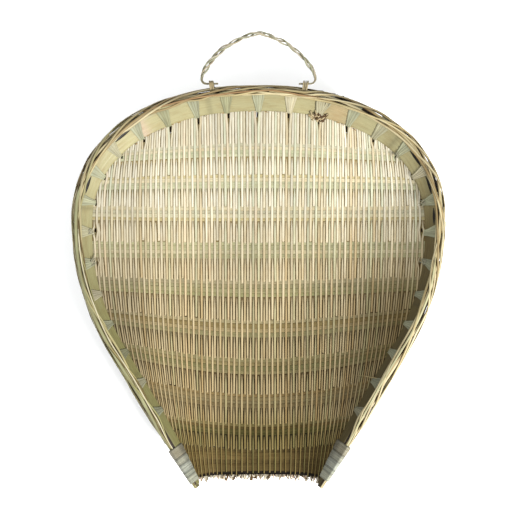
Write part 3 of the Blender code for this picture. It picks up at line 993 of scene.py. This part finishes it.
SPLINT_TINTS = [
    (linear((234, 220, 174)), 0.36),
    (linear((218, 202, 150)), 0.28),
    (linear((198, 190, 138)), 0.22),
    (linear((198, 174, 122)), 0.08),
    (linear((146, 124, 80)), 0.06),
]
COURSES = 8                 # of pale splints, laid end to end
ROPE_TURN = 0.36            # along the rim, for a splint to cross it and come back
ROPE_REACH_S, ROPE_REACH_Q, ROPE_LIFT = 0.0043, 0.0069, 0.0009


def rope_place(rim, u, swing, lift):
    """Where a splint lies over the rim's round top: swing -1 is outermost, 1 is innermost."""
    gather = smooth((np.abs(u) - rim.bound + 0.040) / 0.040)
    angle = math.radians(14) * (1 - gather) + math.radians(92) * swing
    reach_s = ROPE_REACH_S * (1 - 0.25 * gather) + lift * (1 - 0.6 * gather)
    reach_q = ROPE_REACH_Q * (1 - 0.58 * gather) + lift * (1 - 0.6 * gather)
    s = -0.0022 - 0.0008 * gather - reach_s * np.cos(angle)
    path = rim.pinched(u, s, reach_q * np.sin(angle))
    cos, sin = np.cos(angle)[:, None], np.sin(angle)[:, None]
    inward, down = rim.inward(u), rim.down(u)
    return path, inward * cos + down * sin, inward * sin - down * cos, 1 - 0.35 * gather


def make_top_splints(rim, finish):
    """Pale splints laid along the rim's top, slowly crossing over one another."""
    rng = np.random.default_rng(53)
    piles = [Pile(), Pile()]
    for k in range(COURSES):
        cuts = [-rim.half_length + rng.uniform(0, 0.012)]
        while cuts[-1] < rim.half_length - 0.35:
            cuts.append(cuts[-1] + rng.uniform(0.34, 0.62))
        cuts[-1] = rim.half_length - rng.uniform(0, 0.012)
        for start, stop in zip(cuts, cuts[1:]):
            u = stations(start, min(stop + 0.02, rim.half_length), 0.005)
            phase = TURN * (k / COURSES + u / ROPE_TURN) + wander(rng, len(u), 0.35, 11)
            lift = ROPE_LIFT * (1 + np.sin(phase)) + 0.00012 * k
            swing = np.arcsin(0.98 * np.cos(phase)) * 2 / math.pi
            path, side, up, slim = rope_place(rim, u, swing, lift)
            width = rng.uniform(0.0024, 0.0034) * (1 + wander(rng, len(u), 0.10, 12)) * slim
            tint = mottled(rng, pick(rng, SPLINT_TINTS), len(u), 0.08, 24)
            # Painted shade: the splints darken and turn more olive down the left arm, away from the
            # light.
            left = smooth((-u - 0.25) / 0.25)[:, None]
            tint = tint * (1 - 0.25 * left * np.array([0.9, 0.75, 1.3]))
            piles[k % 2].strip(path, side, up, width, 0.0015 * slim, tint)
    # More lie on top of these: green on the left arm, bright on the right, one tan at the back.
    for start, stop, swing, width, tone in (
        (-0.735, -0.30, 0.10, 0.0052, (196, 196, 148)),
        (-0.70, -0.42, -0.42, 0.0040, (206, 204, 160)),
        (-0.745, -0.36, 0.52, 0.0022, (236, 228, 192)),
        (0.33, 0.742, -0.30, 0.0034, (236, 226, 184)),
        (0.40, 0.735, 0.25, 0.0030, (222, 218, 170)),
        (-0.16, 0.09, 0.35, 0.0026, (190, 154, 106)),
    ):
        u = stations(start, stop, 0.005)
        drift = swing + wander(rng, len(u), 0.16, 8)
        path, side, up, slim = rope_place(rim, u, drift, 0.0024 + wander(rng, len(u), 0.0002, 9))
        ends = np.clip(np.minimum(u - start, stop - u) / 0.012, 0.35, 1)
        tint = mottled(rng, linear(tone), len(u), 0.07, 20)
        piles[0].strip(path, side, up, width * ends * slim, 0.0013 * slim, tint)
    names = ("rim_top_splint_1", "rim_top_splint_3", "rim_top_splint_5")
    piles[0].make("rim_splints_a", finish, "basket", "pale_splint", *names)
    names = ("rim_top_splint_2", "rim_top_splint_4")
    piles[1].make("rim_splints_b", finish, "basket", "pale_splint", *names)


def make_edge_splint(rim, finish):
    """The thin weathered splint that lies outermost, with its little stubs."""
    rng = np.random.default_rng(59)
    pile = Pile()
    u = stations(-rim.bound, rim.bound, 0.005)
    q = -0.0072 + wander(rng, len(u), 0.0003, 40)
    s = -0.0030 + wander(rng, len(u), 0.0004, 40)
    path = rim.points(u, s, q)
    grey = linear((122, 118, 100))
    tint = mottled(rng, grey, len(u), 0.25, 60)
    lay_on_edge(pile, rim, path, u, 0.0019, 0.0015, tint, ROUND)
    for at in np.arange(-rim.bound + 0.01, rim.bound - 0.01, 0.0165):
        at = at + rng.uniform(-0.004, 0.004)
        long = rng.uniform(0.002, 0.006)
        v = np.linspace(at, at + long, 4)
        path = rim.points(v, -0.0030, -0.0076 - np.linspace(0, 1, 4) * rng.uniform(0.0002, 0.0010))
        shade = grey * rng.uniform(0.4, 1.0)
        lay_on_edge(pile, rim, path, v, 0.0013, 0.0013, shade, ROUND)
    pile.make("rim_edge_splint", finish, "basket", "pale_splint")


SKIN_TINTS = [
    (linear((196, 198, 164)), 0.38),
    (linear((210, 206, 170)), 0.30),
    (linear((182, 182, 142)), 0.18),
    (linear((222, 214, 180)), 0.14),
]


def wrap(pile, rim, u, s, q, width, tint, lift=0.0, section=CREASED, thick=BAND_THICK):
    """One closed band through points (s, q) of the section, at u that may change on the way."""
    path = rim.points(u, s, q)
    side = rim.along(u)
    ahead = np.roll(path, -1, axis=0) - np.roll(path, 1, axis=0)
    up = unit(np.cross(ahead, side))
    away = path - path.mean(axis=0)
    if float(np.sum(up * away)) < 0:
        up = -up
    pile.strip(path + up * lift, side, up, width, thick, tint, section, ring=True, edge=0.80)


def make_lashings(rim, dish, skin):
    rng = np.random.default_rng(61)
    count = 40
    for number in range(1, 2 * BANDS_A_SIDE + 2):
        k = number - 1 - BANDS_A_SIDE
        u0 = k * BAND_PITCH
        pile = Pile()
        loop = tight_path(band_corners(rim, u0), GAP + BAND_THICK / 2, count)
        s, q = loop.T
        foot = band_foot(rim, u0)
        down = smooth((s + 0.002) / (foot + 0.002))
        fan = 1.0 - 0.54 * down
        tone = pick(rng, SKIN_TINTS)
        front = smooth((abs(u0) - 0.28) / 0.3)
        strips = 3 if rng.random() < 0.6 else 2
        skew = rng.normal(0, 0.0012)
        for piece in range(strips):
            offset = (piece - (strips - 1) / 2) * (0.0155 / strips) + rng.normal(0, 0.0004)
            u = u0 + offset * fan + skew * (down - 0.5) + wander(rng, count, 0.0002, 6)
            width = 0.0178 / strips * fan * rng.uniform(0.96, 1.14)
            tint = mottled(rng, tone * (1 + rng.normal(0, 0.08)), count, 0.06, 8)
            # Painted shade: towards the arms the part of each band inside the tray is darker.
            inner = smooth((q + 0.001) / 0.003)[:, None]
            tint = tint * (1 - 0.42 * front * inner)
            wrap(pile, rim, u, s, q, width, tint, lift=0.00028 * (piece % 2))
        tail_down(pile, rim, dish, rng, u0, foot)
        name, node = f"lashing_wrap_{number:02d}", f"lashing_{number:02d}"
        pile.make(name, skin, "basket", "bamboo_skin", node)


def tail_down(pile, rim, dish, rng, u0, foot):
    """The band's tail, tucked on down the outside of the mat behind its slot: near black on top as
    painted shadow seen through the slot, with the skin's colour underneath.
    """
    steep = float(smooth((abs(u0) - 0.08) / 0.15))
    s = np.linspace(foot - 0.010, foot + 0.019 - 0.007 * steep, 11)
    u = np.full(11, u0) + rng.normal(0, 0.0006)
    plan = rim.points(u, s, 0)
    point, normal = dish.surface(plan[:, 0], plan[:, 1])
    path = point - normal * 0.0036
    # Near black on top as painted shadow in the slot; the underside has the skin's colour.
    tint = np.repeat(linear((30, 22, 12))[None], 11, axis=0)
    skin = np.repeat(linear((168, 164, 126))[None], 11, axis=0)
    width = 0.0060 + 0.0086 * steep
    pile.strip(path, rim.along(u), normal, width, 0.0007, tint, FLAT, under=skin)


def make_repair(rim, skin, knot):
    """A wide mended lashing at the back, with crossed splints and a frayed brown knot."""
    rng = np.random.default_rng(67)
    u0 = 2 * BAND_PITCH
    pile = Pile()
    loop = tight_path(band_corners(rim, u0), GAP + BAND_THICK * 1.9, 40)
    s, q = loop.T
    down = smooth(s / HOOP_WIDTH)
    for offset, slant, width in (
        (-0.007, 0.004, 0.0060), (-0.001, 0.001, 0.0062),
        (0.0055, -0.006, 0.0040), (0.010, -0.012, 0.0024),
    ):
        inner = smooth((q + 0.001) / 0.003)
        u = u0 + offset + slant * down * inner
        tint = linear((214, 208, 172)) * rng.uniform(0.88, 1.05)
        wrap(pile, rim, u, s, q, width, tint, lift=rng.uniform(0, 0.0006), thick=0.0007)
    pile.make("lashing_repair", skin, "basket", "bamboo_skin")
    pile = Pile()
    for _ in range(46):
        start = u0 + rng.uniform(-0.011, 0.004)
        s0 = HOOP_WIDTH + rng.uniform(-0.009, 0.001)
        along = rng.uniform(-0.009, 0.012)
        t = np.linspace(0, 1, 10)
        u = start + along * t
        s = s0 + rng.uniform(-0.003, 0.004) * t + 0.003 * np.sin(t * math.pi)
        q = 0.0052 + rng.uniform(0.0006, 0.0036) * np.sin(t * math.pi)
        tint = linear((104, 76, 36) if rng.random() < 0.6 else (226, 206, 160))
        lay_on_wall(pile, rim, u, s, q, rng.uniform(0.0012, 0.0027), 0.0008, tint)
    pile.make("lashing_repair_knot", knot, "basket", "bamboo_skin")


def make_bindings(rim, finish):
    """Turns of split thread round each horn, in five runs."""
    side = MAT_THICK / 2 + GAP + HOOP_THICK
    corners = [(HOOP_END_WIDTH, -side), (HOOP_END_WIDTH, side)]
    corners += [(-0.0081, -0.0032), (-0.0081, 0.0032)]
    a_turn = 40
    loop = tight_path(corners, GAP + BINDING_THICK / 2, a_turn)
    # Each run's tone; the darker first run, at the horn's root, is partly painted shade.
    runs = (
        (0.0, 0.27, (178, 172, 148)), (0.27, 0.46, (190, 190, 170)),
        (0.46, 0.68, (202, 206, 190)), (0.68, 0.80, (194, 198, 178)), (0.80, 1.0, (204, 206, 184)),
    )
    pitch = 0.00135
    for name, sign, seed, start, end in (
        ("left", -1, 71, rim.bound + 0.010, rim.half_length - 0.009),
        ("right", 1, 73, rim.bound + 0.004, rim.half_length - 0.013),
    ):
        rng = np.random.default_rng(seed)
        pile = Pile()
        for low, high, colour in runs:
            turns = max(3, round((high - low) * (end - start) / pitch))
            n = turns * a_turn
            place = np.arange(n)
            u = start + (end - start) * (low + (high - low) * place / n)
            u = u + wander(rng, n, 0.00012, turns * 2)
            ridge = 1 + 0.035 * np.sin(TURN * (place / n) * 0.5)
            s, q = (loop[place % a_turn] * ridge[:, None]).T
            path = rim.pinched(sign * u, s, q)
            spin = np.roll(loop, -1, axis=0) - np.roll(loop, 1, axis=0)
            out = np.stack([-spin[:, 1], spin[:, 0]], axis=1)
            flip = np.sign(np.sum(out * (loop - loop.mean(axis=0))))
            out = unit(out * flip)[place % a_turn]
            up = unit(out[:, :1] * rim.down(sign * u) + out[:, 1:] * rim.inward(sign * u))
            tint = mottled(rng, linear(colour), n, 0.10, turns * 3)
            # Painted shade: each run's first and last turns are darker, for the gaps between runs,
            # and the inner side near the top is darker, most on the runs near the root.
            edge = np.minimum(place, n - 1 - place) < a_turn * 0.8
            hollow = smooth((s - 0.001) / 0.008) * smooth(q / 0.003) * (1 - (low + high) / 2)
            tint = tint * np.where(edge, 0.58, 1.0)[:, None] * (1 - 0.55 * hollow)[:, None]
            pile.strip(path, rim.along(sign * u), up, pitch * 1.02, 0.0012, tint, ROUND, edge=0.75)
        pile.make(f"horn_thread_{name}", finish, "basket", "bamboo_thread", f"horn_binding_{name}")


# ------------------------------------------------------------------------------ the loop


def loop_line():
    power = 2 / LOOP_SQUARENESS
    turn = np.linspace(0, math.pi, 121)
    arch = np.stack(
        [
            -LOOP_HALF_WIDTH * np.sign(np.cos(turn)) * np.abs(np.cos(turn)) ** power,
            LOOP_ELBOW + (LOOP_HEIGHT - LOOP_ELBOW) * np.abs(np.sin(turn)) ** power,
        ],
        axis=1,
    )
    bend = np.linspace(0, math.pi / 2, 7)
    elbow = np.stack([1 - np.sin(bend), 1 - np.cos(bend)], axis=1) * LOOP_ELBOW
    elbow[:, 0] = -LOOP_HALF_WIDTH + elbow[:, 0]
    left = np.concatenate([[(-LOOP_FOOT, 0.0)], elbow])
    whole = np.concatenate([left, arch[1:-1], left[::-1] * (-1, 1)])
    along = lengths(whole)
    even = np.linspace(0, along[-1], 130)
    return even, read_pairs(even, along, whole)


def loop_axis(rim):
    outline_y = float(np.interp(LOOP_FOOT, rim.plan[:, 0], rim.plan[:, 1]))
    return outline_y + STRAND_OFFSET + STRAND_RADIUS + 0.0006, RIM_HEIGHT - LOOP_DROP


LOOP_GROUPS = (             # the phase and the tone of each strip of a strand
    ((0.0, 0), (0.75, 1)),
    ((math.pi, 2), (math.pi + 0.7, 3), (math.pi - 0.6, 4)),
)


def make_loop(rim, finish):
    rng = np.random.default_rng(83)
    y0, z0 = loop_axis(rim)
    along, line = loop_line()
    ahead = unit(np.gradient(line, axis=0))
    outward = np.stack([-ahead[:, 1], ahead[:, 0], np.zeros(len(line))], axis=1)
    upward = np.broadcast_to(np.array((0.0, 0.0, 1.0)), outward.shape)
    centre = np.stack([line[:, 0], y0 + line[:, 1], np.full(len(line), z0)], axis=1)
    foot = np.minimum(along, along[-1] - along)
    spread = 0.24 + 0.76 * smooth((foot - 0.018) / 0.026)
    tones = ((222, 216, 190), (198, 200, 166), (232, 224, 200), (184, 184, 150), (212, 200, 168))
    for group, members in enumerate(LOOP_GROUPS):
        pile = Pile()
        for phase, k in members:
            turn = TURN * along / LOOP_TWIST + phase + wander(rng, len(along), 0.50, 9)
            radius = 0.0023 * spread * (1 + wander(rng, len(along), 0.22, 12)) + 0.0002 * (k % 2)
            path = centre + outward * (radius * np.cos(turn))[:, None]
            path = path + upward * (radius * np.sin(turn))[:, None]
            face = outward * (0.35 * np.cos(turn))[:, None]
            face = face + upward * (0.6 + 0.4 * np.sin(turn))[:, None]
            tangent = unit(np.gradient(path, axis=0))
            side = unit(np.cross(tangent, face))
            face = unit(np.cross(side, tangent))
            width = rng.uniform(0.0017, 0.0024) * (1 + wander(rng, len(along), 0.12, 18))
            width = width * (0.55 + 0.45 * spread)
            tint = mottled(rng, linear(tones[k]), len(along), 0.10, 24)
            # Painted shade: the strands darken over the elbows and feet, beside the rim.
            dark = 1 - np.array([0.40, 0.46, 0.54]) * smooth((0.032 - foot) / 0.010)[:, None]
            pile.strip(path, side, face, width, 0.0011, tint * dark, edge=0.62)
        name, node = f"loop_twist_{group + 1}", f"loop_strand_{group + 1}"
        pile.make(name, finish, "hanging_loop", "loop_splint", node)


def in_section(rim, u, y, z):
    """s and q of a point at the back of the rim."""
    zero = rim.points(u, 0.0, 0.0)
    r = (y - zero[1]) / rim.at(rim.out, np.array(u))[1]
    w = z - zero[2]
    return -r * math.sin(FLARE) - w * math.cos(FLARE), -r * math.cos(FLARE) + w * math.sin(FLARE)


def make_ties(rim, skin, fray):
    rng = np.random.default_rng(89)
    y0, z0 = loop_axis(rim)
    for name, sign in (("left", -1), ("right", 1)):
        pile = Pile()
        for turn in range(3):
            u0 = sign * (TIE_AT + (turn - 1) * TIE_WIDTH / 4)
            s0, q0 = in_section(rim, u0, y0, z0)
            radius = STRAND_OFFSET + STRAND_RADIUS
            corners = [(-0.0048, 0.0012), (-0.0048, -0.0030), (0.0012, -0.0052)] + [
                (s0 + radius * math.cos(TURN * k / 12), q0 + radius * math.sin(TURN * k / 12))
                for k in range(12)
            ]
            s, q = tight_path(corners, GAP + BAND_THICK / 2, 32).T
            u = u0 + 0.0005 * np.sin(np.linspace(0, TURN, 32, endpoint=False) + turn)
            # Painted shade: the turns are darker where they pass round the outside of the rim.
            outside = smooth((-q - 0.004) / 0.004)[:, None]
            tint = linear((196, 178, 134)) * (1 - 0.6 * outside) * rng.uniform(0.8, 1.05)
            width = rng.uniform(0.0014, 0.0022)
            wrap(pile, rim, u, s, q, width, tint, section=CROWNED, thick=0.0008)
        pile.make(f"loop_tie_turns_{name}", skin, "basket", "bamboo_skin", f"loop_tie_{name}")
    pile = Pile()
    for k in range(14):
        start = 0.074 + 0.0032 * k + rng.uniform(-0.001, 0.001)
        t = np.linspace(0, 1, 6)
        u = start + rng.uniform(0.004, 0.009) * t
        s = -0.0040 + rng.uniform(-0.0008, 0.0008) * t
        q = -0.0084 - rng.uniform(0, 0.0012) * t - 0.0004
        tint = linear((70, 66, 52)) * rng.uniform(0.5, 1.5)
        lay_on_edge(pile, rim, rim.points(u, s, q), u, rng.uniform(0.0010, 0.0018), 0.0010, tint)
    pile.make("loop_frayed_end", fray, "basket", "bamboo_skin")


def make_loose_ends(rim, finish):
    """A loose whisker of splint on the right arm, and frayed white bits of lashing."""
    rng = np.random.default_rng(97)
    pile = Pile()
    t = np.linspace(0, 1, 16)
    u = 0.585 + 0.012 * t
    s = 0.004 + 0.036 * t
    q = 0.0042 + 0.0022 * np.sin(math.pi * t)
    lay_on_wall(pile, rim, u, s, q, 0.0011 * (1 - 0.6 * t), 0.0006, linear((226, 206, 150)))
    for k, aim in ((7, 0.4), (9, -0.5), (-8, -0.3), (-9, 0.6), (5, 0.2)):
        u0 = k * BAND_PITCH
        for j in range(6):
            t = np.linspace(0, 1, 8)
            turn = aim + rng.uniform(-0.6, 0.6)
            reach = rng.uniform(0.006, 0.012)
            u = u0 + (j - 2.5) * 0.0012 + reach * np.sin(turn) * t
            s = band_foot(rim, u0) - rng.uniform(0.003, 0.008) + reach * np.cos(turn) * t
            q = 0.0060 + rng.uniform(0.0002, 0.0016) * np.sin(math.pi * t)
            width = rng.uniform(0.0010, 0.0018) * (1 - 0.6 * t)
            tint = linear((222, 218, 186)) * rng.uniform(0.55, 1.0)
            lay_on_wall(pile, rim, u, s, q, width, 0.0005, tint)
    for _ in range(44):
        t = np.linspace(0, 1, 6)
        u = rng.uniform(-0.20, 0.15) + rng.uniform(0.002, 0.006) * t
        s = HOOP_WIDTH + rng.uniform(-0.0004, 0.0022) + rng.uniform(-0.0014, 0.0014) * t
        tint = linear((206, 168, 104) if rng.random() < 0.6 else (238, 226, 196))
        lay_on_wall(pile, rim, u, s, 0.0034, rng.uniform(0.0007, 0.0013), 0.0005, tint)
    pile.make("loose_ends", finish, "basket", "bamboo_skin")


# ---------------------------------------------------------------------- floor, light, camera


def make_floor():
    mesh = bpy.data.meshes.new("floor")
    half, count = 4.0, 9
    place = np.linspace(-half, half, count)
    points = [(x, y, -0.0006) for y in place for x in place]
    faces = [
        (j * count + i, j * count + i + 1, (j + 1) * count + i + 1, (j + 1) * count + i)
        for j in range(count - 1)
        for i in range(count - 1)
    ]
    mesh.from_pydata(points, [], faces)
    floor = bpy.data.objects.new("floor", mesh)
    bpy.context.scene.collection.objects.link(floor)
    paper = bpy.data.materials.new("pale_floor")
    paper.use_nodes = True
    shader = paper.node_tree.nodes["Principled BSDF"]
    set_inputs(shader, Base_Color=(0.93, 0.93, 0.93, 1), Roughness=0.9, Specular_IOR_Level=0.0)
    mesh.materials.append(paper)


KEY_POWER = 150.0
FILL_POWER = 14.0
SKY = 1.15


def area_light(name, place, aim, size, power, colour=(1, 1, 1)):
    data = bpy.data.lights.new(name, "AREA")
    data.shape = "DISK"
    data.size = size
    data.energy = power
    data.color = colour
    made = bpy.data.objects.new(name, data)
    made.location = place
    made.rotation_euler = (Vector(aim) - Vector(place)).to_track_quat("-Z", "Y").to_euler()
    bpy.context.scene.collection.objects.link(made)


def make_light():
    warm = (1, 0.985, 0.96)
    area_light("key_light", (1.35, -1.25, 1.45), (0, 0.05, 0.05), 0.9, KEY_POWER, warm)
    area_light("fill_light", (-0.9, 0.9, 1.8), (-0.05, 0.1, 0.05), 1.4, FILL_POWER)
    world = bpy.data.worlds.new("studio")
    world.use_nodes = True
    background = world.node_tree.nodes["Background"]
    set_inputs(background, Color=(0.97, 0.985, 1.0, 1), Strength=SKY)
    bpy.context.scene.world = world


CAMERA_HEIGHT = 1.5         # over the rim's plane
VIEW_HALF = 0.3466          # half the picture's side, at the rim's plane


def make_camera():
    data = bpy.data.cameras.new("camera")
    data.angle = 2 * math.atan(VIEW_HALF / CAMERA_HEIGHT)
    camera = bpy.data.objects.new("camera", data)
    camera.location = (0.0020, 0.0054, RIM_HEIGHT + CAMERA_HEIGHT)
    bpy.context.scene.collection.objects.link(camera)
    bpy.context.scene.camera = camera


def main():
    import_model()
    bpy.context.scene.view_settings.view_transform = "Standard"
    rim = Rim()
    dish = Dish(rim)
    weave = bamboo("woven_splints", 0.60, fibre=0.20, blotch=0.22, bump=0.30, shine=0.10)
    green = bamboo("weft_splints", 0.62, fibre=0.28, blotch=0.25, bump=0.35, shine=0.06)
    brown = bamboo("brown_slat_wood", 0.66, fibre=0.35, blotch=0.35, bump=0.40, shine=0.06)
    hoop = bamboo("green_hoop_skin", 0.46, fibre=0.16, blotch=0.25, bump=0.20, coat=0.05)
    pale = bamboo("pale_splint_wood", 0.52, fibre=0.28, blotch=0.30, bump=0.35)
    skin = bamboo("bamboo_skin_band", 0.48, fibre=0.24, blotch=0.20, bump=0.35, coat=0.06)
    thread = bamboo("split_thread", 0.50, fibre=0.22, blotch=0.20, bump=0.30)
    twist = bamboo("loop_splint_wood", 0.54, fibre=0.30, blotch=0.25, bump=0.40)
    number, ladder, lines = warp_lines(rim, dish)
    slots = slot_places(rim, ladder, lines)
    make_warps(rim, dish, weave, slots, number, ladder, lines)
    make_wefts(rim, dish, green, slots)
    make_mouth(rim, dish, brown, weave)
    make_hoops(rim, hoop)
    make_core(rim, pale)
    make_top_splints(rim, pale)
    make_edge_splint(rim, pale)
    make_lashings(rim, dish, skin)
    make_repair(rim, skin, pale)
    make_bindings(rim, thread)
    make_loop(rim, twist)
    make_ties(rim, skin, pale)
    make_loose_ends(rim, pale)
    make_floor()
    make_light()
    make_camera()


main()
